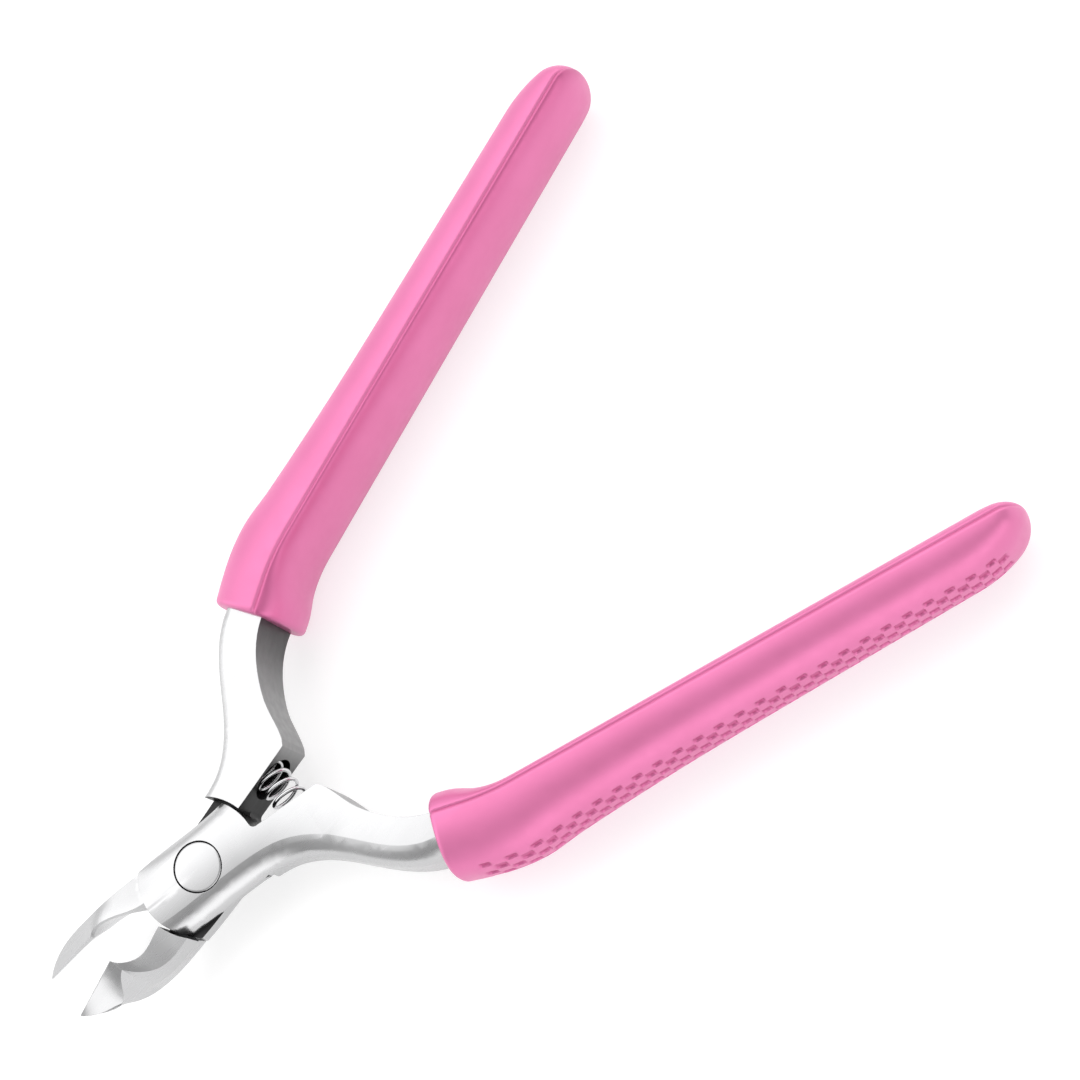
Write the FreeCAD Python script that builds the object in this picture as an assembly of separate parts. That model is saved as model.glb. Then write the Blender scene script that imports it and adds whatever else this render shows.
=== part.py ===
import FreeCAD, Part
import math
import os

# Cuticle nipper with a lap joint, a coil return spring and two-shell grips.
# Millimetres and degrees. +X runs to the jaw tips, +Y to the front lever's handle, and +Z
# along the pivot towards the front face. The origin is on the pivot axis, on the rear face
# of the head. Each lever is drawn closed, with its handle at +Y and its jaw at -Y, and is
# then turned open. The back lever is the mirror image in Y, with the other half of the lap.

# Head and lap joint
HEAD_THICK = 6.6
MID = HEAD_THICK / 2
LAP_GAP = 0.05
OPEN_ANGLE = 15.6
BOSS_R = 8.05
BOSS_MARGIN = 1.0
SHOULDER_R = 8.45
CORNER_FILL_R = 0.75
SPLIT_Y = 0.02
# Half width of the head on the handle's side: at the pivot and past the boss's end
FRONT_HEAD = (5.3, 4.95)
BACK_HEAD = (4.85, 4.45)
# Edge of the boss on the jaw's side, as (x, distance from y = 0)
BOSS_EDGE = ((BOSS_R + BOSS_MARGIN, 4.45), (0.0, 4.85), (-5.6, 5.1), (-BOSS_R - BOSS_MARGIN, 5.8))
# How far the boss's block reaches over to the handle's side: at its back and at the pivot
BOSS_BACK_Y = 0.5
BOSS_OVERLAP_X = 1.5
BOSS_OVERLAP_Y = 1.5

# Jaw: ends of the cutting edge, and the section at the heel as (distance from y = 0, z)
JAW_ROOT_X = 7.0
HEEL_X = 14.65
TIP_X = 22.4
HEEL_Z = 9.7
TIP_Z = 6.9
FRONT_HEEL_RIDGE = (3.12, 7.2)
BACK_HEEL_RIDGE = (1.6, 8.8)
HEEL_BELLY = (3.75, 4.2)
HEEL_KEEL = (3.45, 0.85)
HEEL_INNER = (2.95, 0.9)
LAND = 0.9
TIP_LAND = 0.35
EDGE_CLEAR = 0.01
TIP_HALF = 0.12

# Handle's plan: outer curve, inner curve and the flat run back to the boss
OUTER_CURVE = ((-5.6, 5.1), (-9.6, 5.75), (-13.8, 8.3), (-17.9, 12.5))
OUTER_LAST = (-21.2, 15.6)
INNER_CURVE = ((-18.85, 3.1), (-19.9, 5.75), (-21.3, 8.0), (-24.1, 11.0))
INNER_CORNER = (-18.1, 1.5)
INNER_STEP = (-17.5, 0.85)
INNER_ROOT = (-8.9, 0.45)
FRONT_WIDER = 0.25

# Shank and tang: half thickness along X, and the tang's reach either side of the ridge line
SHANK_FLARE_X = -15.0
SHANK_FLARE = ((-18.5, 3.42), (-22.5, 3.85))
MOUTH_X = -28.0
MOUTH_HALF_THICK = 4.4
TANG_HALF_THICK = 3.6
TANG_END_SHORT = 12.0
TANG_OUT_MOUTH = 4.7
TANG_OUT_BEND = 4.4
TANG_OUT_END = 3.3
TANG_IN_MOUTH = 0.5
TANG_IN_END = 0.6
FRONT_EDGE_R = 2.4
BACK_EDGE_R = 1.0
REAR_EDGE_R = 1.9

# Grip: the ridge line in plan, and the section either side of it
GRIP_MOUTH = (-27.5, 13.5)
GRIP_BEND = (-34.5, 16.1)
GRIP_END = (-103.3, 26.3)
BEND_REACH = 5.0
GRIP_HALF_MOUTH = 6.16
GRIP_HALF_BEND = 6.43
GRIP_HALF_END = 5.72
OUTER_DEPTH_MOUTH = 7.5
OUTER_DEPTH_END = 5.0
INNER_DEPTH_MOUTH = 1.8
INNER_DEPTH_END = 2.2
SECTION_POWER = 2.4
SECTION_STEPS = 12
END_ROUND = 6.0
BEND_STEPS = 4
STRAIGHT_STEPS = 3
END_ANGLES = (20, 38, 54, 68, 79, 86)

# Pivot rivet
RIVET_HEAD_R = 3.0
RIVET_HEAD_THICK = 1.3
RIVET_SHANK_R = 2.0
RIVET_TAIL_R = 2.5
RIVET_TAIL_THICK = 0.8
RUNNING_CLEAR = 0.04
HEAD_CLEAR = 0.05

# Return spring
SPRING_X = -13.1
POCKET_R = 2.82
POCKET_FLOOR_Y = 5.1
SPRING_R = 1.98
WIRE_R = 0.23
SPRING_PITCH = 1.6
SPRING_END_GAP = 0.02

# Cutting tools reach well past the tool: down, up and sideways
CUT_LOW = -10.0
CUT_HIGH = 20.0
CUT_REACH = 40.0
# How near an edge lies to the curve it follows, and how level a lengthwise edge is
ON_CURVE = 0.02
LEVEL = 2.0

FRONT = 1
BACK = -1


def vec(x, y, z=0.0):
    return FreeCAD.Vector(x, y, z)


def spline(points):
    curve = Part.BSplineCurve()
    curve.interpolate(points)
    return curve.toShape()


def line(a, b):
    return Part.makeLine(a, b)


def prism(edges, low, high):
    """The closed plan outline raised from z = low to z = high."""
    face = Part.Face(Part.Wire(edges))
    face.translate(vec(0, 0, low))
    return face.extrude(vec(0, 0, high - low))


def disc(radius, low, high):
    """A cylinder about the pivot axis."""
    return Part.makeCylinder(radius, high - low, vec(0, 0, low), vec(0, 0, 1))


def opened(shape, side):
    """Turn a closed lever to its open place and mirror the back one."""
    turned = shape.copy()
    turned.rotate(vec(0, 0, 0), vec(0, 0, 1), -OPEN_ANGLE / 2)
    if side == BACK:
        turned = turned.mirror(vec(0, 0, 0), vec(0, 1, 0))
    return turned


# ---------------------------------------------------------------- grip


def unit(a, b):
    length = math.dist(a, b)
    return ((b[0] - a[0]) / length, (b[1] - a[1]) / length)


def ahead_of(at, along, distance):
    return (at[0] + along[0] * distance, at[1] + along[1] * distance)


def mix(a, b, t):
    return a + (b - a) * t


def bend_station(t, first, second):
    """A point of the quadratic curve that rounds the ridge line's bend, and its direction."""
    start = ahead_of(GRIP_BEND, first, -BEND_REACH)
    end = ahead_of(GRIP_BEND, second, BEND_REACH)
    weights = ((1 - t) ** 2, 2 * t * (1 - t), t * t)
    at = tuple(weights[0] * start[k] + weights[1] * GRIP_BEND[k] + weights[2] * end[k] for k in (0, 1))
    blend = (mix(first[0], second[0], t), mix(first[1], second[1], t))
    return at, unit((0, 0), blend)


def grip_path():
    """Stations along the ridge line: (position, direction, distance from the mouth)."""
    first = unit(GRIP_MOUTH, GRIP_BEND)
    second = unit(GRIP_BEND, GRIP_END)
    to_bend = math.dist(GRIP_MOUTH, GRIP_BEND)
    stations = [(GRIP_MOUTH, first, 0.0)]
    for step in range(BEND_STEPS + 1):
        t = step / BEND_STEPS
        at, along = bend_station(t, first, second)
        stations.append((at, along, to_bend + BEND_REACH * (2 * t - 1)))
    straight = math.dist(GRIP_BEND, GRIP_END) - BEND_REACH - END_ROUND
    beyond = [BEND_REACH + straight * step / STRAIGHT_STEPS for step in range(1, STRAIGHT_STEPS + 1)]
    beyond += [BEND_REACH + straight + END_ROUND * math.sin(math.radians(a)) for a in END_ANGLES]
    for distance in beyond:
        stations.append((ahead_of(GRIP_BEND, second, distance), second, to_bend + distance))
    return stations


def grip_length():
    return math.dist(GRIP_MOUTH, GRIP_BEND) + math.dist(GRIP_BEND, GRIP_END)


def grip_half(distance):
    """Half thickness of the grip in Z."""
    bend = math.dist(GRIP_MOUTH, GRIP_BEND)
    if distance < bend:
        return mix(GRIP_HALF_MOUTH, GRIP_HALF_BEND, distance / bend)
    return mix(GRIP_HALF_BEND, GRIP_HALF_END, (distance - bend) / (grip_length() - bend))


def cap(distance):
    """How much of its full size the section keeps: 1, falling to 0 at the round end."""
    left = grip_length() - distance
    if left >= END_ROUND:
        return 1.0
    return math.sqrt(max(0.0, 1 - (1 - left / END_ROUND) ** 2))


def rounded(ratio):
    """A sine or cosine flattened into the section's half oval."""
    return math.copysign(abs(ratio) ** (2 / SECTION_POWER), ratio)


def half_section(station, mouth_depth, end_depth, way):
    """One shell's closed section: a flattened half oval on one side of the ridge plane."""
    at, along, distance = station
    size = cap(distance)
    depth = mix(mouth_depth, end_depth, distance / grip_length()) * size
    half = grip_half(distance) * size
    out = (-along[1] * way, along[0] * way)
    points = []
    for step in range(SECTION_STEPS + 1):
        angle = math.radians(90 - 180 * step / SECTION_STEPS)
        spot = ahead_of(at, out, depth * abs(rounded(math.cos(angle))))
        points.append(vec(spot[0], spot[1], MID + half * rounded(math.sin(angle))))
    return Part.Wire([spline(points), line(points[-1], points[0])])


def grip_shell(mouth_depth, end_depth, way):
    sections = [half_section(station, mouth_depth, end_depth, way) for station in grip_path()]
    return Part.makeLoft(sections, True, True)


# ---------------------------------------------------------------- handle of a lever


def thickness_slab():
    """A slab across Y: as thick as the head, flaring to the mouth, then thinning to the tang's end."""
    far_x = GRIP_END[0]
    shape = [(SHANK_FLARE_X, MID)] + list(SHANK_FLARE) + [(MOUTH_X, MOUTH_HALF_THICK)]
    top = [vec(x, -CUT_REACH, MID + half) for x, half in shape]
    low = [vec(x, -CUT_REACH, MID - half) for x, half in reversed(shape)]
    top_end = vec(far_x, -CUT_REACH, MID + TANG_HALF_THICK)
    low_end = vec(far_x, -CUT_REACH, MID - TANG_HALF_THICK)
    top_front = vec(CUT_REACH, -CUT_REACH, HEAD_THICK)
    low_front = vec(CUT_REACH, -CUT_REACH, 0)
    edges = [
        line(top_front, top[0]),
        spline(top),
        line(top[-1], top_end),
        line(top_end, low_end),
        line(low_end, low[0]),
        spline(low),
        line(low[-1], low_front),
        line(low_front, top_front),
    ]
    return Part.Face(Part.Wire(edges)).extrude(vec(0, 3 * CUT_REACH, 0))


def beside(at, along, out):
    """A point out from the ridge line, away from the other lever."""
    return vec(at[0] + along[1] * out, at[1] - along[0] * out)


def handle_outline(side):
    """Plan of the handle side: its outer curve, and the edges from there round to the boss."""
    first = unit(GRIP_MOUTH, GRIP_BEND)
    second = unit(GRIP_BEND, GRIP_END)
    end = ahead_of(GRIP_END, second, -TANG_END_SHORT)
    head, wider = (FRONT_HEAD, FRONT_WIDER) if side == FRONT else (BACK_HEAD, 0.0)
    outer_mouth = beside(GRIP_MOUTH, first, TANG_OUT_MOUTH)
    outer_points = [vec(BOSS_R + BOSS_MARGIN, head[1]), vec(0, head[0])]
    outer_points += [vec(x, y + wider) for x, y in OUTER_CURVE]
    outer_points += [vec(OUTER_LAST[0], OUTER_LAST[1] + wider / 2), outer_mouth]
    around = [
        outer_mouth,
        beside(GRIP_BEND, second, TANG_OUT_BEND),
        beside(end, second, TANG_OUT_END),
        beside(end, second, -TANG_IN_END),
        beside(GRIP_BEND, second, -TANG_IN_END),
        beside(GRIP_MOUTH, first, -TANG_IN_MOUTH),
    ]
    inner = [vec(*INNER_CORNER)] + [vec(x, y) for x, y in INNER_CURVE] + [around[-1]]
    edges = [line(a, b) for a, b in zip(around, around[1:])]
    edges.append(spline(inner))
    edges.append(line(vec(*INNER_CORNER), vec(*INNER_STEP)))
    edges.append(line(vec(*INNER_STEP), vec(*INNER_ROOT)))
    return spline(outer_points), edges


def centre_of(edge):
    return edge.valueAt((edge.FirstParameter + edge.LastParameter) / 2)


def follows(curve, edge):
    """Whether the edge's middle lies on the plan curve."""
    at = centre_of(edge)
    return curve.distToShape(Part.Vertex(vec(at.x, at.y)))[0] < ON_CURVE


def lengthwise(edge):
    return abs(edge.Vertexes[0].Z - edge.Vertexes[-1].Z) < LEVEL


def round_edges(solid, radius, wanted):
    """Fillet every edge that the test names."""
    return solid.makeFillet(radius, [edge for edge in solid.Edges if wanted(edge)])


def handle_slab(side, front_r, rear_r):
    """The handle side at full thickness, with its long outer edges rounded."""
    outer, rest = handle_outline(side)
    start = outer.Vertexes[0].Point
    root = vec(*INNER_ROOT)
    below_start = vec(start.x, root.y)
    edges = [outer] + rest + [line(root, below_start), line(below_start, start)]
    slab = prism(edges, CUT_LOW, CUT_HIGH).common(thickness_slab())

    def outer_edge(edge, high):
        return lengthwise(edge) and follows(outer, edge) and (centre_of(edge).z > MID) == high

    slab = round_edges(slab, front_r, lambda edge: outer_edge(edge, True))
    return round_edges(slab, rear_r, lambda edge: outer_edge(edge, False))


# ---------------------------------------------------------------- jaw of a lever


def rail(points):
    """A long edge of the jaw, drawn at -Y: a smooth curve through (x, distance from y = 0, z)."""
    spots = [vec(x, -out, z) for x, out, z in points]
    return spline(spots) if len(spots) > 2 else line(spots[0], spots[1])


def skin(rails):
    """A solid whose long edges are the rails and whose two ends are flat."""
    loop = rails + rails[:1]
    faces = [Part.makeRuledSurface(loop[i], loop[i + 1]) for i in range(len(rails))]
    for end in (0, -1):
        corners = [edge.Vertexes[end].Point for edge in rails]
        faces.append(Part.Face(Part.makePolygon(corners + corners[:1])))
    shell = Part.makeShell(faces)
    shell.sewShape()
    solid = Part.makeSolid(shell)
    return solid if solid.Volume > 0 else solid.reversed()


def window_ridge(side):
    """The ridge outside the scoop, which stays low on the front jaw and climbs on the back one."""
    if side == FRONT:
        ridge = [(JAW_ROOT_X, 4.1, 6.0), (8.6, 4.15, 5.9), (10.2, 4.1, 5.95)]
        ridge += [(12.1, 3.8, 6.4), (13.4, 3.45, 6.9), (HEEL_X,) + FRONT_HEEL_RIDGE]
        return ridge
    ridge = [(JAW_ROOT_X, 4.35, 5.8), (8.9, 4.32, 5.6), (10.8, 4.2, 5.6), (12.3, 3.85, 6.2)]
    ridge += [(13.4, 3.2, 7.1), (14.1, 2.5, 8.0), (HEEL_X,) + BACK_HEEL_RIDGE]
    return ridge


def window_rails(side):
    """From the head to the heel: the gap edge, the ridge outside it and the hollow back."""
    gap = [(JAW_ROOT_X, 0.6, 6.55), (8.9, 0.7, 6.3), (10.2, 1.0, 6.35), (11.6, 1.4, 6.7)]
    gap += [(12.7, 1.48, 7.4), (13.7, 1.2, 8.5), (14.3, 0.7, 9.2), (HEEL_X, EDGE_CLEAR, HEEL_Z)]
    belly = [(JAW_ROOT_X, 4.55, 3.2), (10.2, 4.5, 3.1), (12.5, 4.3, 3.4), (HEEL_X,) + HEEL_BELLY]
    keel = [(JAW_ROOT_X, 4.0, 0.25), (10.2, 3.9, 0.25), (12.5, 3.75, 0.45), (HEEL_X,) + HEEL_KEEL]
    inner = [(JAW_ROOT_X, 0.7, 0.0), (8.6, 1.3, 0.0), (10.4, 2.6, 0.15), (12.5, 3.1, 0.4)]
    inner += [(HEEL_X,) + HEEL_INNER]
    land = [(JAW_ROOT_X, 0.62, 3.0), (8.9, 0.75, 3.6), (10.4, 1.15, 4.8), (12.2, 1.5, 6.1)]
    land += [(13.7, 1.22, 7.6), (HEEL_X, EDGE_CLEAR, HEEL_Z - LAND)]
    return [rail(points) for points in (gap, window_ridge(side), belly, keel, inner, land)]


def facet_foot(side):
    """Lower edge of the ground facet beside the cutting edge."""
    if side == FRONT:
        foot = [(HEEL_X,) + FRONT_HEEL_RIDGE, (16.5, 2.98, 6.95), (18.5, 2.62, 6.7), (20.5, 1.78, 6.6)]
    else:
        foot = [(HEEL_X,) + BACK_HEEL_RIDGE, (16.5, 2.25, 7.15), (18.4, 2.72, 5.4), (20.5, 1.75, 5.95)]
    return foot + [(TIP_X, TIP_HALF, TIP_Z - 0.1)]


def blade_rails(side):
    """From the heel to the tip: the straight cutting edge, the facet's foot and the keel."""
    edge = [(HEEL_X, EDGE_CLEAR, HEEL_Z), (TIP_X, EDGE_CLEAR, TIP_Z)]
    belly = [(HEEL_X,) + HEEL_BELLY, (16.4, 3.3, 4.7), (18.4, 2.75, 5.5), (20.5, 1.72, 6.0)]
    belly += [(TIP_X, TIP_HALF, TIP_Z - 0.2)]
    keel = [(HEEL_X,) + HEEL_KEEL, (16.2, 3.2, 1.7), (17.4, 3.0, 3.3), (18.5, 2.6, 5.0)]
    keel += [(20.5, 1.6, 5.7), (TIP_X, TIP_HALF - 0.02, TIP_Z - TIP_LAND)]
    inner = [(HEEL_X,) + HEEL_INNER, (16.2, 2.7, 1.8), (17.4, 2.3, 3.2), (18.5, 1.9, 4.6)]
    inner += [(20.5, 1.1, 5.5), (TIP_X, TIP_HALF / 2, TIP_Z - 0.4)]
    land = [(HEEL_X, EDGE_CLEAR, HEEL_Z - LAND), (TIP_X, EDGE_CLEAR, TIP_Z - TIP_LAND)]
    return [rail(points) for points in (edge, facet_foot(side), belly, keel, inner, land)]


def jaw(side):
    return skin(window_rails(side)).fuse(skin(blade_rails(side)))


# ---------------------------------------------------------------- whole lever


def boss_side(side, low, high, radius):
    """The lap boss on the jaw's side of the pivot, one half of the head thick."""
    far = BOSS_R + BOSS_MARGIN
    outline = spline([vec(x, -out) for x, out in BOSS_EDGE])
    around = [
        vec(-far, -BOSS_EDGE[-1][1]),
        vec(-far, BOSS_BACK_Y),
        vec(-BOSS_R + BOSS_OVERLAP_X, BOSS_OVERLAP_Y),
        vec(far, BOSS_OVERLAP_Y),
        vec(far, -BOSS_EDGE[0][1]),
    ]
    block = prism([outline] + [line(a, b) for a, b in zip(around, around[1:])], low, high)
    rim = high if side == FRONT else low

    def rim_edge(edge):
        return abs(centre_of(edge).z - rim) < ON_CURVE and follows(outline, edge)

    return round_edges(block, radius, rim_edge).common(disc(BOSS_R, low, high))


def fill_corner(body):
    """Round the inside corner where the boss meets the handle's flat inner run."""
    root_y = INNER_ROOT[1]
    corner = (-math.sqrt(BOSS_R ** 2 - root_y ** 2), root_y)

    def corner_edge(edge):
        at = centre_of(edge)
        return not lengthwise(edge) and math.dist((at.x, at.y), corner) < ON_CURVE

    return round_edges(body, CORNER_FILL_R, corner_edge)


def pocket():
    """Blind pocket for the spring, turned so that it lies along Y when the lever is open."""
    hole = Part.makeCylinder(POCKET_R, POCKET_FLOOR_Y, vec(SPRING_X, 0, MID), vec(0, 1, 0))
    hole.rotate(vec(0, 0, 0), vec(0, 0, 1), OPEN_ANGLE / 2)
    return hole


def rivet_holes(side):
    """The shank's bore, and the recess for the rivet's head or tail on this lever's own face."""
    bore = disc(RIVET_SHANK_R + RUNNING_CLEAR, CUT_LOW, CUT_HIGH)
    if side == FRONT:
        recess_floor = HEAD_THICK - RIVET_HEAD_THICK - HEAD_CLEAR
        return bore.fuse(disc(RIVET_HEAD_R + HEAD_CLEAR, recess_floor, CUT_HIGH))
    return bore.fuse(disc(RIVET_TAIL_R + HEAD_CLEAR, CUT_LOW, RIVET_TAIL_THICK + HEAD_CLEAR))


def lever(side):
    """One lever, closed, with its handle at +Y. The front one has the front half of the lap."""
    if side == FRONT:
        own = (MID + LAP_GAP / 2, HEAD_THICK)
        other = (CUT_LOW, own[0])
        edge_r = FRONT_EDGE_R
    else:
        own = (0.0, MID - LAP_GAP / 2)
        other = (own[1], CUT_HIGH)
        edge_r = BACK_EDGE_R
    ahead = Part.makeBox(CUT_REACH, 2 * CUT_REACH, own[1] - own[0], vec(0, -CUT_REACH, own[0]))
    body = handle_slab(side, edge_r, REAR_EDGE_R).cut(ahead.cut(disc(BOSS_R, *own)))
    body = fill_corner(body.fuse(boss_side(side, *own, REAR_EDGE_R)).removeSplitter())
    body = body.fuse(jaw(side))
    body = body.cut(disc(SHOULDER_R, *other))
    body = body.cut(Part.makeBox(CUT_REACH, CUT_REACH, other[1] - other[0], vec(0, SPLIT_Y, other[0])))
    return body.cut(pocket()).cut(rivet_holes(side)).removeSplitter()


# ---------------------------------------------------------------- rivet, spring, assembly


def pivot_rivet():
    """One turned piece: flush head in front, shank, and a spread tail flush behind."""
    shank = disc(RIVET_SHANK_R, 0, HEAD_THICK)
    head = disc(RIVET_HEAD_R, HEAD_THICK - RIVET_HEAD_THICK, HEAD_THICK)
    tail = disc(RIVET_TAIL_R, 0, RIVET_TAIL_THICK)
    return shank.fuse(head).fuse(tail).removeSplitter()


def return_spring():
    """Round wire coiled along Y between the floors of the two pockets."""
    reach = POCKET_FLOOR_Y - WIRE_R - SPRING_END_GAP
    coil = Part.makeHelix(SPRING_PITCH, 2 * reach, SPRING_R)
    wire = Part.Wire(Part.makeCircle(WIRE_R, vec(SPRING_R, 0, 0), vec(0, 1, 0)))
    spring = Part.Wire(coil).makePipeShell([wire], True, True)
    spring.rotate(vec(0, 0, 0), vec(1, 0, 0), -90)
    spring.translate(vec(SPRING_X, -reach, MID))
    return spring


def write(shape, node):
    shape.exportStep(os.path.join("parts", node + ".step"))


def build():
    os.makedirs("parts", exist_ok=True)
    for side, name in ((FRONT, "front"), (BACK, "back")):
        steel = lever(side)
        outer = grip_shell(OUTER_DEPTH_MOUTH, OUTER_DEPTH_END, -1).cut(steel)
        inner = grip_shell(INNER_DEPTH_MOUTH, INNER_DEPTH_END, 1).cut(steel)
        write(opened(steel, side), name + "_lever")
        write(opened(outer, side), name + "_grip_outer")
        write(opened(inner, side), name + "_grip_inner")
    write(pivot_rivet(), "pivot_rivet")
    write(return_spring(), "return_spring")


build()
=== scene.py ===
import math

import bmesh
import bpy
from mathutils import Matrix, Vector
from mathutils.bvhtree import BVHTree
from mathutils.interpolate import poly_3d_calc
from mathutils.kdtree import KDTree


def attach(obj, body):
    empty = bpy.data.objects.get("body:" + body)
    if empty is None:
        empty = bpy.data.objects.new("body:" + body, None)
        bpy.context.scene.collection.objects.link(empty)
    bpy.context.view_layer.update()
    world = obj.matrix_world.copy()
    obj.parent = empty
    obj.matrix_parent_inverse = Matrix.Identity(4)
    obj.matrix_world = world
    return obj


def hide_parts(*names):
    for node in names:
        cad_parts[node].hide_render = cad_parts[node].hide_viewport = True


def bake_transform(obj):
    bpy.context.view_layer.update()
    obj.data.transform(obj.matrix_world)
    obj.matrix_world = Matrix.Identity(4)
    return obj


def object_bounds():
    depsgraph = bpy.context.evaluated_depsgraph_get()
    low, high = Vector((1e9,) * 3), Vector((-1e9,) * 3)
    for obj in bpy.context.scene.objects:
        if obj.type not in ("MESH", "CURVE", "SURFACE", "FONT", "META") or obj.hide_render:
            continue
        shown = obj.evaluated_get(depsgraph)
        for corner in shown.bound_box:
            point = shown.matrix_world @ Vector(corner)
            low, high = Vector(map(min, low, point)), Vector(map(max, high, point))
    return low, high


# Looks of a cuticle nipper: polished levers, a wire spring and soft two-shell grips.
# Objects are in metres, in the CAD frame. Lengths named below are in millimetres, and MM turns
# them into metres. A grip is drawn on its lever while closed, then opened as the CAD is.

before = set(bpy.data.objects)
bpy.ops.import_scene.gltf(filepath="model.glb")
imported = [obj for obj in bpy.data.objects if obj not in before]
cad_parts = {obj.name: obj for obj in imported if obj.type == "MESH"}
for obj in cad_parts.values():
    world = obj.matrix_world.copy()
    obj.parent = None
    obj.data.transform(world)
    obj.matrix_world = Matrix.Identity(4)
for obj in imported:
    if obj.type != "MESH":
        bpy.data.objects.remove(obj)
cad_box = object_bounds()

MM = 0.001
FRONT = 1
BACK = -1
OPEN_ANGLE = 15.6
HEAD_THICK = 6.6
MID = HEAD_THICK / 2

# ---------------------------------------------------------------- camera, light and floor

# Camera: the place it looks at, and the directions from there back to it and up its picture
CAMERA_AIM = (-56.05, 0.1, 3.3)
CAMERA_BACK = (-0.0657, 0.4068, 0.9112)
CAMERA_UP = (-0.7066, -0.6637, 0.2454)
CAMERA_DISTANCE = 378.2
CAMERA_LENS = 106.55
CAMERA_SENSOR = 36.0
CAMERA_CLIP = 0.01
FLOOR_HALF = 2000.0
# Floor: what it reflects, and what it gives out like a light table, which keeps shadows pale
FLOOR_ALBEDO = 0.5
FLOOR_GLOW = 0.6
FLOOR_ROUGHNESS = 0.9
FLOOR_SPECULAR = 0.1
# Brightness of the studio by the Y part of the direction, as (Y, level)
SKY = (
    (-1.0, 1.0),
    (-0.8, 1.25),
    (-0.62, 1.8),
    (-0.42, 2.4),
    (-0.27, 1.75),
    (-0.10, 1.02),
    (0.08, 0.62),
    (0.50, 0.42),
    (0.66, 0.9),
    (0.80, 2.0),
    (0.93, 2.0),
    (1.0, 1.1),
)
# Level that the studio's ramp calls 1, so none above may be higher
SKY_STRENGTH = 2.5
# The key lamp: its direction from the tool, then metres and watts
KEY_TOWARDS = (0.1, -0.55, 0.83)
KEY_DISTANCE = 0.8
KEY_WIDTH = 0.9
KEY_HEIGHT = 0.6
KEY_WATTS = 0.9


def make_camera():
    data = bpy.data.cameras.new("camera")
    data.lens = CAMERA_LENS
    data.sensor_width = CAMERA_SENSOR
    data.clip_start = CAMERA_CLIP
    back = Vector(CAMERA_BACK).normalized()
    right = Vector(CAMERA_UP).cross(back).normalized()
    place = Matrix((right, back.cross(right), back)).transposed().to_4x4()
    place.translation = Vector(CAMERA_AIM) * MM + back * CAMERA_DISTANCE * MM
    camera = bpy.data.objects.new("camera", data)
    camera.matrix_world = place
    bpy.context.collection.objects.link(camera)
    bpy.context.scene.camera = camera


def make_lights():
    """A studio that runs bright, dark, bright from -Y overhead to low down on the +Y side.

    The lamp lights the tool but stays out of its reflections.
    """
    data = bpy.data.lights.new("key", "AREA")
    data.shape = "RECTANGLE"
    data.size = KEY_WIDTH
    data.size_y = KEY_HEIGHT
    data.energy = KEY_WATTS
    lamp = bpy.data.objects.new("key", data)
    lamp.visible_glossy = False
    direction = Vector(KEY_TOWARDS).normalized()
    lamp.location = Vector(CAMERA_AIM) * MM + direction * KEY_DISTANCE
    lamp.rotation_euler = direction.to_track_quat("Z", "Y").to_euler()
    bpy.context.collection.objects.link(lamp)
    world = bpy.data.worlds.new("studio")
    bpy.context.scene.world = world
    world.use_nodes = True
    tree = world.node_tree
    sky = tree.nodes["Background"]
    sky.inputs["Strength"].default_value = SKY_STRENGTH
    place = tree.nodes.new("ShaderNodeTexCoord")
    split = tree.nodes.new("ShaderNodeSeparateXYZ")
    span = tree.nodes.new("ShaderNodeMapRange")
    span.inputs["From Min"].default_value = -1.0
    ramp = tree.nodes.new("ShaderNodeValToRGB")
    fill_ramp(ramp.color_ramp, [((y + 1) / 2, level / SKY_STRENGTH) for y, level in SKY])
    tree.links.new(place.outputs["Generated"], split.inputs["Vector"])
    tree.links.new(split.outputs["Y"], span.inputs["Value"])
    tree.links.new(span.outputs["Result"], ramp.inputs["Fac"])
    tree.links.new(ramp.outputs["Color"], sky.inputs["Color"])
    bpy.context.scene.view_settings.view_transform = "Standard"


def fill_ramp(ramp, stops):
    """Sets a ramp's grey stops, given as (position, level)."""
    while len(ramp.elements) < len(stops):
        ramp.elements.new(1.0)
    for element, (position, level) in zip(ramp.elements, stops):
        element.position = position
        element.color = (level, level, level, 1.0)


def make_floor():
    half = FLOOR_HALF * MM
    mesh = bpy.data.meshes.new("floor")
    corners = [(-half, -half, 0), (half, -half, 0), (half, half, 0), (-half, half, 0)]
    mesh.from_pydata(corners, [], [(0, 1, 2, 3)])
    floor = bpy.data.objects.new("floor", mesh)
    floor.location.z = cad_box[0].z
    bpy.context.collection.objects.link(floor)
    pale = bpy.data.materials.new("floor")
    pale.use_nodes = True
    shader = pale.node_tree.nodes["Principled BSDF"]
    shader.inputs["Base Color"].default_value = (FLOOR_ALBEDO, FLOOR_ALBEDO, FLOOR_ALBEDO, 1.0)
    shader.inputs["Roughness"].default_value = FLOOR_ROUGHNESS
    shader.inputs["Specular IOR Level"].default_value = FLOOR_SPECULAR
    shader.inputs["Emission Color"].default_value = (1.0, 1.0, 1.0, 1.0)
    shader.inputs["Emission Strength"].default_value = FLOOR_GLOW
    mesh.materials.append(pale)


# ---------------------------------------------------------------- materials

# The part of a noise's range that its ramp uses
NOISE_LOW = 0.35
NOISE_HIGH = 0.65
# Bumps: how high their tops are in metres, before each one's own strength
BUMP_HEIGHT = 0.00002
# Polishing lines: a noise stretched along X
LINE_SCALE = 900
LINE_DETAIL = 4
LINE_STRETCH = (0.12, 1.0, 1.0)
STEEL_CLOUDS = 220
STEEL_BUMP = 0.003
BEVEL_SAMPLES = 6
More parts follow.
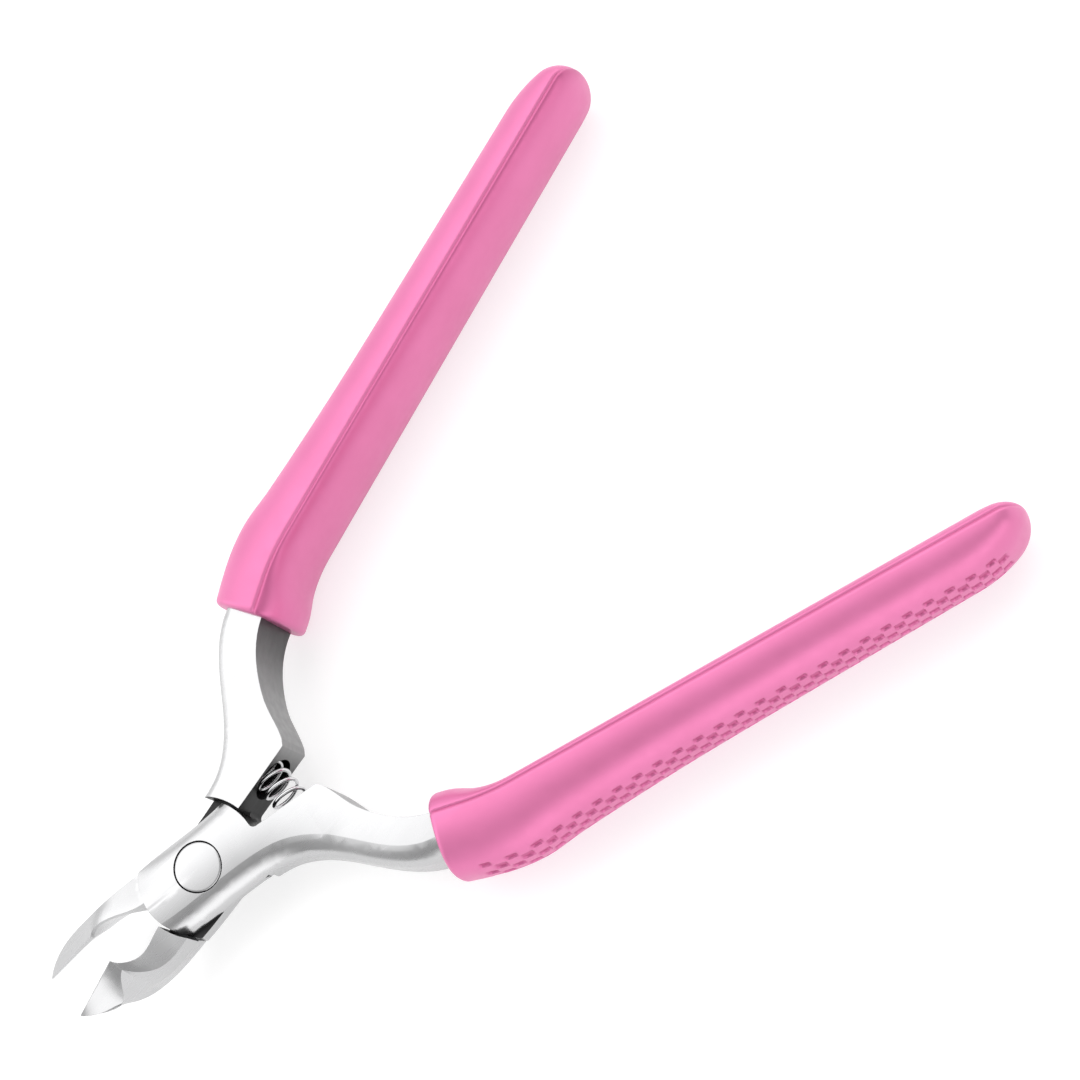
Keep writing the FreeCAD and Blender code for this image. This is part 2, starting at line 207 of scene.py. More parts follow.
# Each steel: its light and dark tone, its roughness from low to high, and its edges' radius
POLISHED = ((0.52, 0.52, 0.525), (0.508, 0.508, 0.513), (0.265, 0.285), 0.06)
# The second steel is near black: painted shade in the lap, the pockets and the rivet's recess, on
# unpolished steel
BARE_PAINTED_SHADE = ((0.045, 0.045, 0.047), (0.03, 0.03, 0.03), (0.35, 0.5), 0.05)
SPRING_WIRE = ((0.72, 0.72, 0.73), (0.64, 0.64, 0.65), (0.1, 0.18), 0.02)
INNER_ROUGHNESS = (0.28, 0.4)
INNER_BUMP = 0.08
# Painted shade on the handles' inner sides along X, as (X, tone): darkest by the spring and by the grip
INNER_PAINTED_SHADE = (
    (-25.5, 0.07),
    (-23.0, 0.12),
    (-19.5, 0.28),
    (-17.0, 0.27),
    (-14.5, 0.08),
    (-12.0, 0.03),
    (-8.0, 0.02),
)
# The grips' pink, and the darker pink painted as shade in the checker's recesses and beside the back
# grip's seam
GRIP_LIGHT = (0.71, 0.19, 0.395)
GRIP_DARK = (0.685, 0.18, 0.375)
GRIP_PAINTED_SHADE = (0.5, 0.095, 0.24)
GRIP_METALLIC = 0.52
GRIP_ROUGHNESS = (0.38, 0.44)
GRIP_MOTTLE = 160
GRIP_SATIN = 700
GRIP_GRAIN = 5200
GRIP_BUMP = 0.1


class Nodes:
    """Short names for building one material's nodes."""

    def __init__(self, name):
        self.material = bpy.data.materials.new(name)
        self.material.use_nodes = True
        self.tree = self.material.node_tree
        self.shader = self.tree.nodes["Principled BSDF"]
        self.place = self.add("ShaderNodeTexCoord").outputs["Object"]

    def add(self, kind):
        return self.tree.nodes.new(kind)

    def join(self, start, end):
        self.tree.links.new(start, end)

    def noise(self, scale, detail, stretch=(1.0, 1.0, 1.0)):
        """Noise in object space, with features about 1 / scale metres across."""
        spread = self.add("ShaderNodeMapping")
        spread.inputs["Scale"].default_value = stretch
        self.join(self.place, spread.inputs["Vector"])
        noise = self.add("ShaderNodeTexNoise")
        noise.inputs["Scale"].default_value = scale
        noise.inputs["Detail"].default_value = detail
        self.join(spread.outputs["Vector"], noise.inputs["Vector"])
        return noise.outputs["Fac"]

    def ramp(self, value, low, high):
        """The middle of a noise's range turned into low to high."""
        span = self.add("ShaderNodeMapRange")
        span.inputs["From Min"].default_value = NOISE_LOW
        span.inputs["From Max"].default_value = NOISE_HIGH
        span.inputs["To Min"].default_value = low
        span.inputs["To Max"].default_value = high
        self.join(value, span.inputs["Value"])
        return span.outputs["Result"]

    def blend(self, share, first, second):
        """The mix of two colours, each a tuple or a socket."""
        mixer = self.add("ShaderNodeMix")
        mixer.data_type = "RGBA"
        self.join(share, mixer.inputs["Factor"])
        for colour, socket in ((first, mixer.inputs["A"]), (second, mixer.inputs["B"])):
            if isinstance(colour, tuple):
                socket.default_value = colour + (1.0,)
            else:
                self.join(colour, socket)
        return mixer.outputs["Result"]

    def bump(self, height, strength, normal=None):
        bump = self.add("ShaderNodeBump")
        bump.inputs["Strength"].default_value = strength
        bump.inputs["Distance"].default_value = BUMP_HEIGHT
        self.join(height, bump.inputs["Height"])
        if normal is not None:
            self.join(normal, bump.inputs["Normal"])
        return bump.outputs["Normal"]


def steel(name, light, dark, roughness, edge):
    """Steel: faint cloudy tone, fine lengthwise polishing lines and softened edges."""
    n = Nodes(name)
    n.shader.inputs["Metallic"].default_value = 1.0
    n.join(n.blend(n.ramp(n.noise(STEEL_CLOUDS, 3), 0.0, 1.0), light, dark), n.shader.inputs["Base Color"])
    lines = n.noise(LINE_SCALE, LINE_DETAIL, LINE_STRETCH)
    n.join(n.ramp(lines, *roughness), n.shader.inputs["Roughness"])
    bevel = n.add("ShaderNodeBevel")
    bevel.samples = BEVEL_SAMPLES
    bevel.inputs["Radius"].default_value = edge * MM
    n.join(n.bump(lines, STEEL_BUMP, bevel.outputs["Normal"]), n.shader.inputs["Normal"])
    return n.material


def inner_steel_painted_shade():
    """Ground steel on the handles' inner sides, with painted shade in its colour along its length."""
    n = Nodes("inner_steel_painted_shade")
    n.shader.inputs["Metallic"].default_value = 1.0
    split = n.add("ShaderNodeSeparateXYZ")
    n.join(n.place, split.inputs["Vector"])
    span = n.add("ShaderNodeMapRange")
    low, high = INNER_PAINTED_SHADE[0][0], INNER_PAINTED_SHADE[-1][0]
    span.inputs["From Min"].default_value = low * MM
    span.inputs["From Max"].default_value = high * MM
    n.join(split.outputs["X"], span.inputs["Value"])
    ramp = n.add("ShaderNodeValToRGB")
    fill_ramp(ramp.color_ramp, [((x - low) / (high - low), shade_tone) for x, shade_tone in INNER_PAINTED_SHADE])
    n.join(span.outputs["Result"], ramp.inputs["Fac"])
    n.join(ramp.outputs["Color"], n.shader.inputs["Base Color"])
    lines = n.noise(LINE_SCALE, LINE_DETAIL, LINE_STRETCH)
    n.join(n.ramp(lines, *INNER_ROUGHNESS), n.shader.inputs["Roughness"])
    n.join(n.bump(lines, INNER_BUMP), n.shader.inputs["Normal"])
    return n.material


def soft_grip(name):
    """Pearly satin elastomer: slight mottle, very fine moulded grain, painted shade where the mesh says.
    """
    n = Nodes(name)
    skin = n.blend(n.ramp(n.noise(GRIP_MOTTLE, 3), 0.0, 1.0), GRIP_LIGHT, GRIP_DARK)
    # Painted shade: the pink darkens where the mesh's attribute says, in the checker's recesses and beside
    # the back grip's seam
    painted_shade = n.add("ShaderNodeAttribute")
    painted_shade.attribute_name = "painted_shade"
    n.join(n.blend(painted_shade.outputs["Fac"], skin, GRIP_PAINTED_SHADE), n.shader.inputs["Base Color"])
    n.shader.inputs["Metallic"].default_value = GRIP_METALLIC
    n.join(n.ramp(n.noise(GRIP_SATIN, 3), *GRIP_ROUGHNESS), n.shader.inputs["Roughness"])
    n.join(n.bump(n.noise(GRIP_GRAIN, 2), GRIP_BUMP), n.shader.inputs["Normal"])
    return n.material


# ---------------------------------------------------------------- grips

# The ridge line in plan, where a grip's two shells meet
GRIP_MOUTH = (-27.5, 13.5)
GRIP_BEND = (-34.5, 16.1)
GRIP_END = (-103.3, 26.3)
BEND_REACH = 3.2
# Half height in Z, then each shell's depth off the ridge plane, by distance from the mouth
HALF_HEIGHT = ((0, 6.16), (7.5, 6.43), (77, 5.72))
OUTER_DEPTH = ((0, 7.3), (4, 7.6), (9, 7.7), (14, 7.1), (25, 6.35), (35, 5.95), (77, 5.0))
INNER_DEPTH = ((0, 3.3), (2.5, 3.15), (5.5, 2.25), (8.5, 1.75), (12, 1.65), (30, 1.7), (77, 2.0))
OUTER_POWER = 2.4
INNER_POWER = 2.05
# How far back from the tip the rounding starts: in height, outer depth and inner depth
TIP_HEIGHT = 3.0
TIP_OUTER = 9.0
TIP_INNER = 5.0
# How much longer each grip is than the drawn line: front and back
LONGER = {FRONT: -0.7, BACK: 0.3}
# Radius of the rim at the mouth, and the half width and depth of the seam's groove
RIM = 0.7
SEAM = 0.42
SEAM_DEPTH = 0.2
CELL = 1.375
ROW = 1.3
ROWS_EACH_WAY = 3
CHECK_START = 3.6
CHECK_END = 72.6
CHECK_DEPTH = 0.25
CHECK_SHARP = 5.0
CHECK_REACH = 3.45
CHECK_FADE = 0.3
# Most of a quarter section that the checker may take
CHECK_SHARE = 0.55
CELL_STEPS = 8
# How dark the pink is painted as shade in the checker's recesses, and beside the seam on the back grip's
# inner shell
CHECK_PAINTED_SHADE = 0.75
SEAM_PAINTED_SHADE = 0.8
SEAM_SHADE_REACH = 1.9
PLAIN_STEP = 0.5
ARC_STEPS = 120
PLAIN_ARC_STEPS = 22
SEAM_STEPS = 7
RIM_STEPS = 6
TIP_STEPS = 30
# Share of its size that the last section keeps, and the sharpest edge that is shaded smooth
TIP_LEAST = 0.002
GRIP_WELD = 1e-6
GRIP_CREASE = 50


def to_frame(point, side):
    """A point on a closed lever, in millimetres, to its open place in the frame, in metres."""
    turned = Matrix.Rotation(math.radians(-OPEN_ANGLE / 2), 3, "Z") @ Vector(point)
    turned.y *= side
    return turned * MM


def mix(a, b, t):
    return a + (b - a) * t


def smooth_table(points, at):
    """A smooth curve through (distance, value) points, with no overshoot at the ends."""
    if at <= points[0][0]:
        return points[0][1]
    for i, (x0, y0) in enumerate(points[:-1]):
        x1, y1 = points[i + 1]
        if at <= x1:
            before = points[max(i - 1, 0)]
            after = points[min(i + 2, len(points) - 1)]
            slope0 = (y1 - before[1]) / (x1 - before[0])
            slope1 = (after[1] - y0) / (after[0] - x0)
            t = (at - x0) / (x1 - x0)
            span = x1 - x0
            h01 = t * t * (3 - 2 * t)
            h10 = t * (1 - t) ** 2
            h11 = t * t * (t - 1)
            return y0 * (1 - h01) + y1 * h01 + span * (h10 * slope0 + h11 * slope1)
    return points[-1][1]


def grip_length(side):
    return math.dist(GRIP_MOUTH, GRIP_BEND) + math.dist(GRIP_BEND, GRIP_END) + LONGER[side]


def ridge_at(distance):
    """Place and direction of the ridge line that far from the mouth, in plan."""
    mouth, bend, end = Vector(GRIP_MOUTH), Vector(GRIP_BEND), Vector(GRIP_END)
    first = (bend - mouth).normalized()
    second = (end - bend).normalized()
    past = distance - (bend - mouth).length
    if past <= -BEND_REACH:
        return mouth + first * distance, first
    if past >= BEND_REACH:
        return bend + second * past, second
    t = (past + BEND_REACH) / (2 * BEND_REACH)
    start = bend - first * BEND_REACH
    stop = bend + second * BEND_REACH
    at = start * (1 - t) ** 2 + bend * 2 * t * (1 - t) + stop * t * t
    return at, first.lerp(second, t).normalized()


def tip_share(left, reach):
    """Share of its full size that a section keeps, with so much length left to the tip."""
    if left >= reach:
        return 1.0
    return math.sqrt(max(0.0, 1 - (1 - left / reach) ** 2))


def rim_inset(distance):
    """How far the section draws in at the mouth's rounded rim."""
    if distance >= RIM:
        return 0.0
    return RIM - math.sqrt(max(0.0, RIM ** 2 - (RIM - distance) ** 2))


def quarter(depth, half, power):
    """From the widest point up to the seam: (arc length, out, up) along a quarter section."""
    arc = 0.0
    found = []
    for step in range(ARC_STEPS + 1):
        angle = math.pi / 2 * step / ARC_STEPS
        out = depth * max(0.0, math.cos(angle)) ** (2 / power)
        up = half * math.sin(angle) ** (2 / power)
        seam = min(SEAM, depth / 2, half / 2)
        if out < seam:
            up -= min(SEAM_DEPTH, half / 2) * (1 - out / seam) ** 2
        if found:
            arc += math.hypot(out - found[-1][1], up - found[-1][2])
        found.append((arc, out, up))
    return found


def arc_targets(total, fine):
    """Arc lengths at which a quarter is sampled: fine at the checker and at the seam."""
    checker = ROW * ROWS_EACH_WAY if fine else 0.0
    checker = min(checker, total * CHECK_SHARE)
    steps = ROWS_EACH_WAY * CELL_STEPS if fine else 0
    targets = [checker * i / steps for i in range(steps)]
    seam_start = total - min(2 * SEAM, total / 4)
    targets += [mix(checker, seam_start, i / PLAIN_ARC_STEPS) for i in range(PLAIN_ARC_STEPS)]
    targets += [mix(seam_start, total, i / SEAM_STEPS) for i in range(SEAM_STEPS + 1)]
    return targets


def section(depth, half, power, fine):
    """A whole half-oval section from the upper seam to the lower: (arc from the middle, out, up)."""
    table = quarter(depth, half, power)
    upper = []
    spot = 0
    for target in arc_targets(table[-1][0], fine):
        while spot < len(table) - 2 and table[spot + 1][0] < target:
            spot += 1
        a, b = table[spot], table[spot + 1]
        t = min(1.0, (target - a[0]) / max(b[0] - a[0], 1e-9))
        upper.append((target, mix(a[1], b[1], t), mix(a[2], b[2], t)))
    lower = [(-arc, out, -up) for arc, out, up in upper[1:]]
    return upper[::-1] + lower


def stations(length, fine):
    """Distances from the mouth at which a shell has a section."""
    step = CELL / CELL_STEPS if fine else PLAIN_STEP
    found = [RIM * (1 - math.cos(math.pi / 2 * i / RIM_STEPS)) for i in range(RIM_STEPS)]
    count = round((length - TIP_INNER - RIM) / step)
    found += [mix(RIM, length - TIP_INNER, i / count) for i in range(count)]
    for i in range(TIP_STEPS + 1):
        found.append(length - TIP_INNER * (1 - math.sin(math.pi / 2 * i / TIP_STEPS)))
    return found


def checker(distance, arc):
    """How far the checker sinks the surface, from 0 to CHECK_DEPTH."""
    if abs(arc) > ROW * ROWS_EACH_WAY or not CHECK_START < distance < CHECK_END:
        return 0.0
    wave = math.sin(math.pi * (distance - CHECK_START) / CELL) * math.sin(math.pi * arc / ROW)
    fade = max(0.0, min(1.0, (CHECK_REACH - abs(arc)) / CHECK_FADE))
    return CHECK_DEPTH * fade * max(0.0, min(1.0, CHECK_SHARP * wave))


def shell_mesh(name, side, way, depths, power, tip_reach, fine):
    """One shell of a grip as a closed mesh; way is 1 for the outer shell and -1 for the inner."""
    length = grip_length(side)
    rings = []
    for distance in stations(length, fine):
        at, along = ridge_at(distance)
        left = length - distance
        inset = rim_inset(distance)
        depth = (smooth_table(depths, distance) - inset) * max(tip_share(left, tip_reach), TIP_LEAST)
        half = (smooth_table(HALF_HEIGHT, distance) - inset) * max(tip_share(left, TIP_HEIGHT), TIP_LEAST)
        outward = Vector((along.y, -along.x)) * way
        ring = []
        outline = section(depth, half, power, fine)
        for arc, out, up in outline:
            spot = at + outward * out
            sunk = checker(distance, arc) if fine else 0.0
            beside = abs(outline[0][0]) - abs(arc)
            # Painted shade: darker pink where the checker sinks
            shade_tone = sunk / CHECK_DEPTH * CHECK_PAINTED_SHADE
            # Painted shade: a dark band beside the seam on the back grip's inner shell
            if (side, way) == (BACK, -1):
                shade_tone = SEAM_PAINTED_SHADE * math.exp(-((beside / SEAM_SHADE_REACH) ** 2)) * min(1.0, beside / SEAM)
            ring.append((Vector((spot.x, spot.y, MID + up)), sunk, shade_tone))
        rings.append(ring)
    mesh = bpy.data.meshes.new(name)
    width = len(rings[0])
    verts = [to_frame(point, side) for ring in rings for point, _, _ in ring]
    faces = []
    for i in range(len(rings) - 1):
        for j in range(width):
            k = (j + 1) % width
            faces.append((i * width + j, i * width + k, (i + 1) * width + k, (i + 1) * width + j))
    faces.append(tuple(range(width))[::-1])
    faces.append(tuple((len(rings) - 1) * width + j for j in range(width)))
    mesh.from_pydata(verts, [], faces)
    # Each point's painted shade, kept as an attribute for the material
    shade_tone = mesh.attributes.new("painted_shade", "FLOAT", "POINT")
    shade_tone.data.foreach_set("value", [painted_shade for ring in rings for _, _, painted_shade in ring])
    finish_shell(mesh, [sunk for ring in rings for _, sunk, _ in ring])
    return mesh


def finish_shell(mesh, sunk):
    """Sinks the checker along the surface's normals, welds the tip and smooths the shading."""
    bm = bmesh.new()
    bm.from_mesh(mesh)
    bmesh.ops.recalc_face_normals(bm, faces=bm.faces)
    bm.normal_update()
    bm.verts.ensure_lookup_table()
    moves = [bm.verts[i].normal * (-depth * MM) for i, depth in enumerate(sunk)]
    for vert, move in zip(bm.verts, moves):
        vert.co += move
    bmesh.ops.remove_doubles(bm, verts=bm.verts, dist=GRIP_WELD)
    bmesh.ops.recalc_face_normals(bm, faces=bm.faces)
    for face in bm.faces:
        face.smooth = True
    for edge in bm.edges:
        edge.smooth = len(edge.link_faces) != 2 or edge.calc_face_angle() < math.radians(GRIP_CREASE)
    bm.to_mesh(mesh)
    bm.free()


def add_piece(mesh, body, slot, node, *materials):
    """Puts a mesh in place of a CAD node; with no body, the caller says how it moves."""
    piece = bpy.data.objects.new(mesh.name, mesh)
    bpy.context.collection.objects.link(piece)
    for material in materials:
        mesh.materials.append(material)
    if body:
        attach(piece, body)
    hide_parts(node)
    return piece


def make_grips(material):
    for side, body in ((FRONT, "front"), (BACK, "back")):
        outer = shell_mesh(body + "_outer_shell", side, 1, OUTER_DEPTH, OUTER_POWER, TIP_OUTER, True)
        inner = shell_mesh(body + "_inner_shell", side, -1, INNER_DEPTH, INNER_POWER, TIP_INNER, False)
        add_piece(outer, body, "grip_textured", body + "_grip_outer", material)
        add_piece(inner, body, "grip_smooth", body + "_grip_inner", material)


# ---------------------------------------------------------------- spring

# The coil's axis is along Y. It runs between the floors of the two levers' pockets
SPRING_AXIS_X = -13.1
SPRING_FLOOR_Y = 5.1
SPRING_R = 1.98
WIRE_R = 0.24
CLOSED_TURNS = 1.0
OPEN_TURNS = 5.6
# Pitch of the closed turns in wire radii, and the turns over which the pitch opens
CLOSED_PITCH = 2.05
OPENING_TURNS = 0.5
SPRING_END_GAP = 0.02
TURN_STEPS = 48
WIRE_STEPS = 14


def spring_line():
    """Centreline of the wire: closed turns at both ends and open turns between."""
    closed_pitch = CLOSED_PITCH * WIRE_R
    reach = SPRING_FLOOR_Y - WIRE_R - SPRING_END_GAP
    open_pitch = (2 * reach - 2 * CLOSED_TURNS * closed_pitch) / OPEN_TURNS
    turns = OPEN_TURNS + 2 * CLOSED_TURNS
    along = -reach
    line = []
    for step in range(round(turns * TURN_STEPS) + 1):
        turn = step / TURN_STEPS
        angle = 2 * math.pi * turn
        line.append(
            Vector((SPRING_AXIS_X + SPRING_R * math.cos(angle), along, MID + SPRING_R * math.sin(angle)))
        )
        end = min(turn, turns - turn)
        opening = max(0.0, min(1.0, (end - CLOSED_TURNS) / OPENING_TURNS + 0.5))
        along += mix(closed_pitch, open_pitch, opening) / TURN_STEPS
    return line


def tube(name, line, radius, around):
    """A closed round wire along the line."""
    verts, faces = [], []
    axis = Vector((0, 1, 0))
    for i, point in enumerate(line):
        ahead = (line[min(i + 1, len(line) - 1)] - line[max(i - 1, 0)]).normalized()
        across = axis.cross(ahead).normalized()
        up = ahead.cross(across)
        for j in range(around):
            angle = 2 * math.pi * j / around
            verts.append((point + across * radius * math.cos(angle) + up * radius * math.sin(angle)) * MM)
    for i in range(len(line) - 1):
        for j in range(around):
            k = (j + 1) % around
            faces.append((i * around + j, i * around + k, (i + 1) * around + k, (i + 1) * around + j))
    faces.append(tuple(range(around))[::-1])
    faces.append(tuple((len(line) - 1) * around + j for j in range(around)))
    mesh = bpy.data.meshes.new(name)
    mesh.from_pydata(verts, [], faces)
    for face in mesh.polygons:
        face.use_smooth = len(face.vertices) == 4
    return mesh


def make_spring(material):
    mesh = tube("spring_wire_coil", spring_line(), WIRE_R, WIRE_STEPS)
    piece = add_piece(mesh, None, "spring_wire", "return_spring", material)
    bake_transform(piece)


# ---------------------------------------------------------------- levers and rivet

# The front lever's outer outline while closed, which its crowned front face falls towards
OUTER_LINE = (
    (22.0, 4.2),
    (9.05, 4.95),
    (0.0, 5.3),
    (-5.6, 5.35),
    (-9.6, 6.0),
    (-13.8, 8.55),
    (-17.9, 12.75),
    (-21.2, 15.7),
    (-25.9, 17.9),
    (-33.0, 20.4),
)
LINE_STEPS = 300
# The crown: how far in it starts, its depth at the outline, and the height where it fades out,
# which is below the lap plane, so the front lever's lap face sinks about 0.2 mm into the back one
CROWN_REACH = 7.0
HEAD_CROWN = 0.9
SHANK_CROWN = 0.32
CROWN_ROOT_Z = 2.0
# Along X, the shank's crown ends here and the head's begins that much further on
SHANK_END_X = -16
SHANK_TO_HEAD = 12
# The fall from the boss to the front jaw: where it starts, its side, the jaw's top there, and
# how far past the boss's edge it still counts
FALL_START_X = 0.5
FALL_SIDE_Y = 0.8
JAW_TOP_Z = 6.42
JAW_SLOPE = 0.104
JAW_MEETS = 0.3
# Step used to measure a crown's slope, and the least that it may squeeze the height to
SLOPE_STEP = 0.05
LEAST_STRETCH = 0.05
# The grid that the front lever's faces are cut into, by X and then by Y
CUT_STEP = 0.6
CUT_SPAN = ((-30.0, 12.0), (-12.0, 20.0))
CUT_NEAR = 1e-8
WELD = 1e-7

# Where the unpolished steel, painted near black as shade, is: lap plane, shoulder, pocket and the rivet's
# recess
BOSS_R = 8.05
SHOULDER_R = 8.45
POCKET_R = 2.82
RECESS_R = 3.05
# The recess's wall is bare from this far below the head's face, and radii match within NEAR
RECESS_TOP = 0.2
NEAR = 0.08
# A face is level above the first share of its normal in Z, and upright below the second
LEVEL = 0.98
UPRIGHT = 0.2
# Below this Y, measured towards its own handle, the boss's wall stands over its own jaw and is polished
OWN_JAW_Y = -1.1
# The handles' inner sides: their run along X and the least that they face the other lever
INNER_RUN_X = -8.0
GRIP_START_X = -29.0
INNER_FACING = 0.2
INNER_STEEPEST = 0.5
# How far the recess is opened round the rivet's head
RECESS_OPEN = 0.09
# A lever's materials in order: polished, then these
PAINTED_SHADE_SLOT = 1
INNER_SLOT = 2

# The rivet: a chamfered head in the front recess, a shank, and a tail in the rear one
RIVET_R = 3.0
RIVET_CHAMFER = 0.1
RIVET_TAIL_R = 2.5
RIVET_SHANK_R = 2.0
RIVET_HEAD_THICK = 1.3
RIVET_TAIL_THICK = 0.8
RIVET_RINGS = 18
RIVET_AROUND = 96
RIVET_CREASE = 30


def curve_through(points, steps):
    """A dense smooth line through the points, as a Catmull-Rom spline."""
    line = []
    for i in range(len(points) - 1):
        a = Vector(points[max(i - 1, 0)])
        b = Vector(points[i])
        c = Vector(points[i + 1])
        d = Vector(points[min(i + 2, len(points) - 1)])
        for step in range(steps):
            t = step / steps
            squared = (2 * a - 5 * b + 4 * c - d) * t ** 2
            cubed = (3 * b - a - 3 * c + d) * t ** 3
            line.append(0.5 * (2 * b + (c - a) * t + squared + cubed))
    line.append(Vector(points[-1]))
    return line


OUTER_CURVE = curve_through(OUTER_LINE, LINE_STEPS)


def outline_tree():
    tree = KDTree(len(OUTER_CURVE))
    for i, spot in enumerate(OUTER_CURVE):
        tree.insert(spot.to_3d(), i)
    tree.balance()
    return tree


OUTLINE = outline_tree()
CLOSE = Matrix.Rotation(math.radians(OPEN_ANGLE / 2), 3, "Z")


def crown(x, y, z):
    """How far the crowned front face lies below the flat one at that place, in millimetres."""
    away = OUTLINE.find(CLOSE @ Vector((x, y, 0)))[2]
    near = max(0.0, 1 - away / CROWN_REACH)
    height = max(0.0, min(1.0, (z - CROWN_ROOT_Z) / (HEAD_THICK - CROWN_ROOT_Z)))
    depth = mix(SHANK_CROWN, HEAD_CROWN, max(0.0, min(1.0, (x - SHANK_END_X) / SHANK_TO_HEAD)))
    return depth * near ** 2 * height + jaw_fall(x, y, z)


def jaw_fall(x, y, z):
    """How far the boss's front face falls to run into the jaw without a step, in millimetres."""
    closed = CLOSE @ Vector((x, y, 0))
    jaw_top = JAW_TOP_Z - JAW_SLOPE * max(0.0, -closed.y)
    if closed.length > BOSS_R + JAW_MEETS or z < jaw_top:
        return 0.0
    run = smooth((closed.x - FALL_START_X) / (BOSS_R - FALL_START_X))
    across = smooth((FALL_SIDE_Y - closed.y) / FALL_SIDE_Y)
    return run * across * (z - jaw_top)


def smooth(t):
    """0 to 1 with a level start and end."""
    t = max(0.0, min(1.0, t))
    return t * t * (3 - 2 * t)


def crowned_normal(at, normal):
    """The normal that a face of the flat lever has once it is crowned; the place is in millimetres."""
    here = crown(*at)
    slopes = []
    for axis in range(3):
        beside = at.copy()
        beside[axis] += SLOPE_STEP
        slopes.append((crown(*beside) - here) / SLOPE_STEP)
    up = normal.z / max(1 - slopes[2], LEAST_STRETCH)
    return Vector((normal.x + slopes[0] * up, normal.y + slopes[1] * up, up)).normalized()


class PackedNormals:
    """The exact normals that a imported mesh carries, found again at any place on its surface."""

    def __init__(self, mesh):
        mesh.calc_loop_triangles()
        self.spots = [vert.co.copy() for vert in mesh.vertices]
        self.triangles = [tuple(tri.vertices) for tri in mesh.loop_triangles]
        corners = mesh.corner_normals
        self.normals = [[corners[loop].vector.copy() for loop in tri.loops] for tri in mesh.loop_triangles]
        self.tree = BVHTree.FromPolygons(self.spots, self.triangles)

    def at(self, centre, places):
        """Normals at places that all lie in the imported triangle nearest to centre."""
        index = self.tree.find_nearest(centre)[2]
        corners = [self.spots[i] for i in self.triangles[index]]
        found = []
        for place in places:
            weights = poly_3d_calc(corners, place)
            total = Vector((0, 0, 0))
            for weight, normal in zip(weights, self.normals[index]):
                total += normal * max(weight, 0.0)
            found.append(total.normalized())
        return found


def cut_grid(bm):
    """Cuts long flat faces into a fine grid, so that they can be crowned."""
    for axis, (low, high) in enumerate(CUT_SPAN):
        normal = Vector((0, 0, 0))
        normal[axis] = 1.0
        for step in range(round((high - low) / CUT_STEP) + 1):
            at = normal * (low + step * CUT_STEP) * MM
            everything = bm.verts[:] + bm.edges[:] + bm.faces[:]
            bmesh.ops.bisect_plane(bm, geom=everything, dist=CUT_NEAR, plane_co=at, plane_no=normal)


def in_painted_shade(centre, normal, side):
    """Whether a face of a lever is unpolished and painted near black as shade: inside the lap, a pocket or
    the rivet's recess.
    """
    x, y, z = centre / MM
    around = math.hypot(x, y)
    upright = abs(normal.z) < UPRIGHT
    if abs(normal.z) > LEVEL and abs(z - MID) < NEAR:
        return True
    if upright and abs(around - SHOULDER_R) < NEAR and (z > MID) == (side == BACK):
        return True
    if upright and abs(around - BOSS_R) < NEAR:
        return y * side > OWN_JAW_Y
    if around < RECESS_R + NEAR and z < HEAD_THICK - RECESS_TOP:
        return True
    return math.hypot(x - SPRING_AXIS_X, z - MID) < POCKET_R + NEAR / 2 and abs(y) < SPRING_FLOOR_Y + NEAR


def faces_inside(centre, normal, side):
    """Whether a face lies on the handle's side towards the other lever."""
    x, y, _ = centre / MM
    if not GRIP_START_X < x < INNER_RUN_X or y * side <= 0:
        return False
    return normal.y * side < -INNER_FACING and abs(normal.z) < INNER_STEEPEST


def steel_copy(node, side, materials):
    """A lever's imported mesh, cut finer and crowned in front, with its exact normals and regions."""
    packed = PackedNormals(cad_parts[node].data)
    bm = bmesh.new()
    bm.from_mesh(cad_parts[node].data)
    bmesh.ops.remove_doubles(bm, verts=bm.verts, dist=WELD)
    if side == FRONT:
        cut_grid(bm)
    bmesh.ops.triangulate(bm, faces=bm.faces)
    normals = []
    for face in bm.faces:
        face.smooth = True
        centre = face.calc_center_median()
        # Painted shade: faces in the lap, the pockets and the rivet's recess get the near-black steel
        if in_painted_shade(centre, face.normal, side):
            face.material_index = PAINTED_SHADE_SLOT
        # Painted shade: the handles' inner sides get the steel darkened along its length
        elif faces_inside(centre, face.normal, side):
            face.material_index = INNER_SLOT
        places = [vert.co for vert in face.verts]
        found = packed.at(centre, places)
        if side == FRONT:
            found = [crowned_normal(place / MM, normal) for place, normal in zip(places, found)]
        normals += found
    if side == FRONT:
        for vert in bm.verts:
            x, y, z = vert.co / MM
            around = math.hypot(x, y)
            if z > HEAD_THICK - NEAR and abs(around - RECESS_R) < NEAR:
                vert.co.x *= 1 + RECESS_OPEN / around
                vert.co.y *= 1 + RECESS_OPEN / around
            vert.co.z -= crown(x, y, z) * MM
    mesh = bpy.data.meshes.new(node + "_polished")
    bm.to_mesh(mesh)
    bm.free()
    mesh.normals_split_custom_set(normals)
    add_piece(mesh, "front" if side == FRONT else "back", "lever_steel", node, *materials)


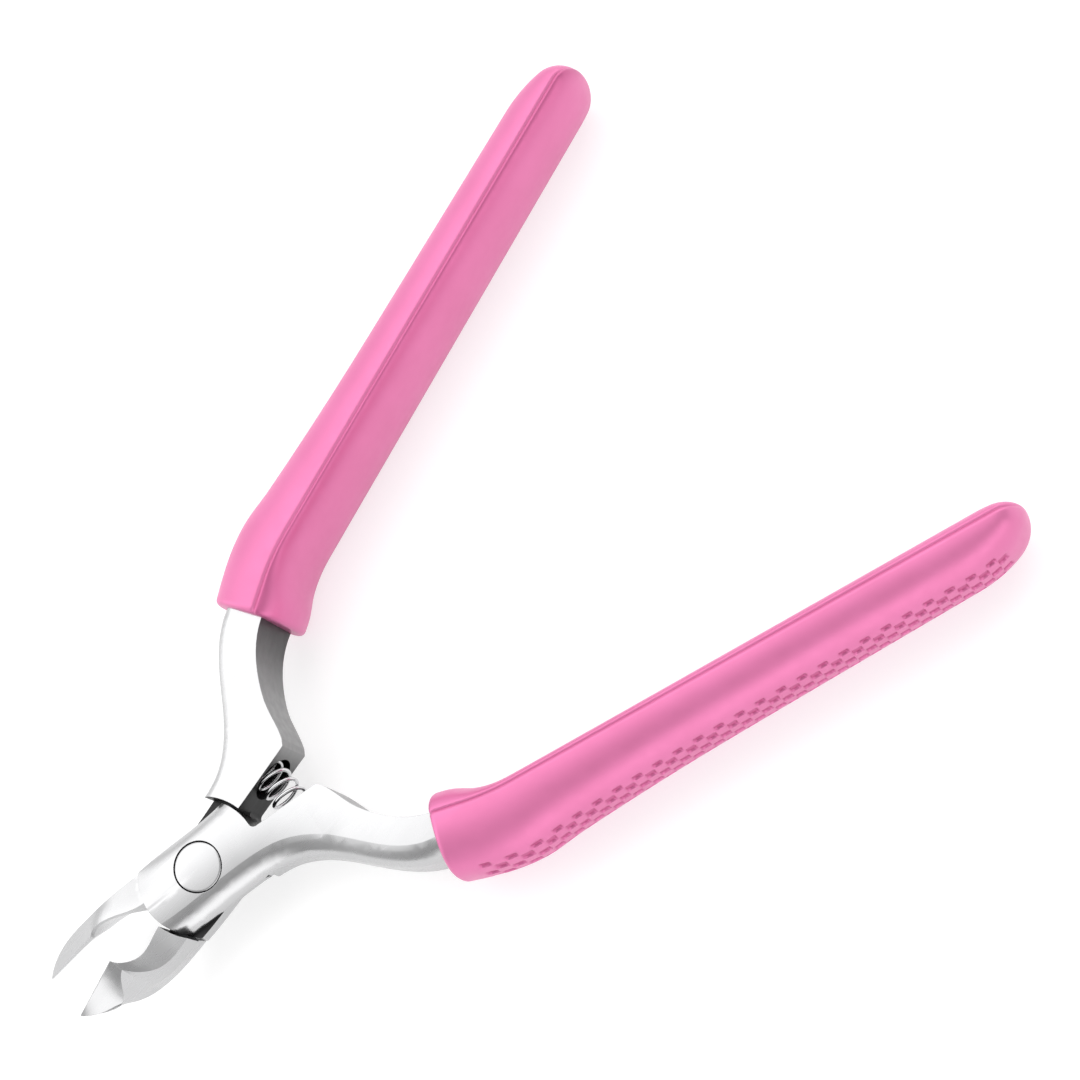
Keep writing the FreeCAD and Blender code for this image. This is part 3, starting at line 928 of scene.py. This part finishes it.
def rivet_mesh():
    """The rivet turned as one piece, its head following the crowned face of the front lever."""
    top = [(RIVET_R - RIVET_CHAMFER) * ring / RIVET_RINGS for ring in range(1, RIVET_RINGS + 1)]
    profile = [(radius, HEAD_THICK) for radius in top]
    profile.append((RIVET_R, HEAD_THICK - RIVET_CHAMFER))
    profile.append((RIVET_R, HEAD_THICK - RIVET_HEAD_THICK))
    profile.append((RIVET_SHANK_R, HEAD_THICK - RIVET_HEAD_THICK))
    profile.append((RIVET_SHANK_R, RIVET_TAIL_THICK))
    profile.append((RIVET_TAIL_R, RIVET_TAIL_THICK))
    profile.append((RIVET_TAIL_R, RIVET_CHAMFER))
    profile.append((RIVET_TAIL_R - RIVET_CHAMFER, 0.0))
    bm = bmesh.new()
    rings = []
    for radius, z in profile:
        ring = []
        for j in range(RIVET_AROUND):
            angle = 2 * math.pi * j / RIVET_AROUND
            x, y = radius * math.cos(angle), radius * math.sin(angle)
            ring.append(bm.verts.new(Vector((x, y, z - crown(x, y, z))) * MM))
        rings.append(ring)
    middle = bm.verts.new(Vector((0, 0, HEAD_THICK - crown(0, 0, HEAD_THICK))) * MM)
    for j in range(RIVET_AROUND):
        k = (j + 1) % RIVET_AROUND
        bm.faces.new((middle, rings[0][j], rings[0][k]))
        for near, far in zip(rings, rings[1:]):
            bm.faces.new((near[j], far[j], far[k], near[k]))
    bm.faces.new(rings[-1][::-1])
    for face in bm.faces:
        face.smooth = len(face.verts) < RIVET_AROUND
    for edge in bm.edges:
        edge.smooth = edge.calc_face_angle() < math.radians(RIVET_CREASE)
    mesh = bpy.data.meshes.new("rivet")
    bm.to_mesh(mesh)
    bm.free()
    return mesh


def make_steel():
    polished = steel("polished_steel", *POLISHED)
    unpolished_painted_shade = steel("bare_steel_painted_shade", *BARE_PAINTED_SHADE)
    inner = inner_steel_painted_shade()
    for node, side in (("front_lever", FRONT), ("back_lever", BACK)):
        steel_copy(node, side, (polished, unpolished_painted_shade, inner))
    add_piece(rivet_mesh(), "front", "rivet_steel", "pivot_rivet", polished)


make_camera()
make_lights()
make_floor()
make_steel()
make_grips(soft_grip("soft_grip"))
make_spring(steel("spring_wire", *SPRING_WIRE))
